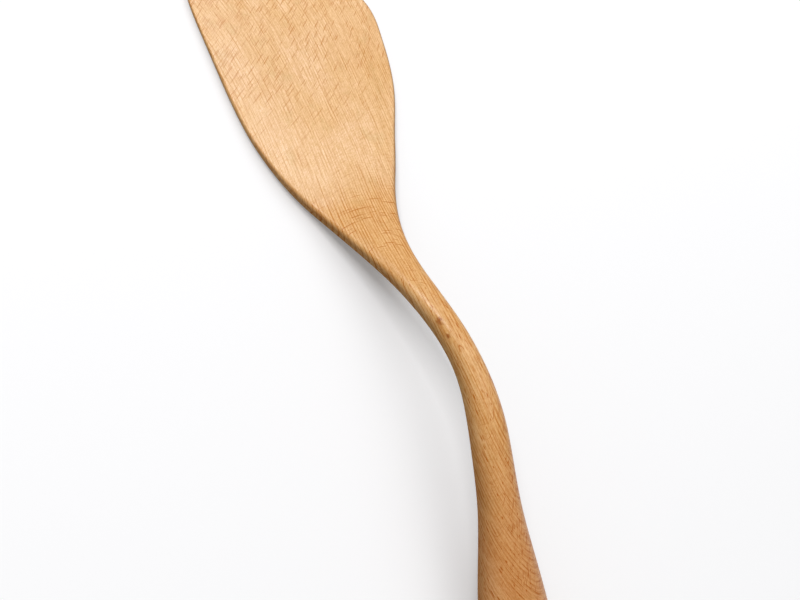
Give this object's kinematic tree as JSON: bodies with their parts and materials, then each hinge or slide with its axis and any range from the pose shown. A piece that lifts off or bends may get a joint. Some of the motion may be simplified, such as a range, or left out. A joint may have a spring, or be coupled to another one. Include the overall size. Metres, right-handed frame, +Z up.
{
  "type": "wooden spatula",
  "caption": "Beech cooking spatula with a flat slanted blade, a slim raised neck and an arched handle that swells into a rounded grip.",
  "frame": {"origin": "centre of the bounding box in X and Y, on the table that the blade and the end of the grip rest on", "axes": "+Y towards the blade's front edge, +X to the right seen from above, +Z up, away from the table"},
  "size_m": [0.0684, 0.3228, 0.0329],
  "materials": {
    "beech": "oiled satin beech, fine grain with ray flecks"
  },
  "bodies": {
    "root": {"spatula": "beech"}
  },
  "joints": []
}
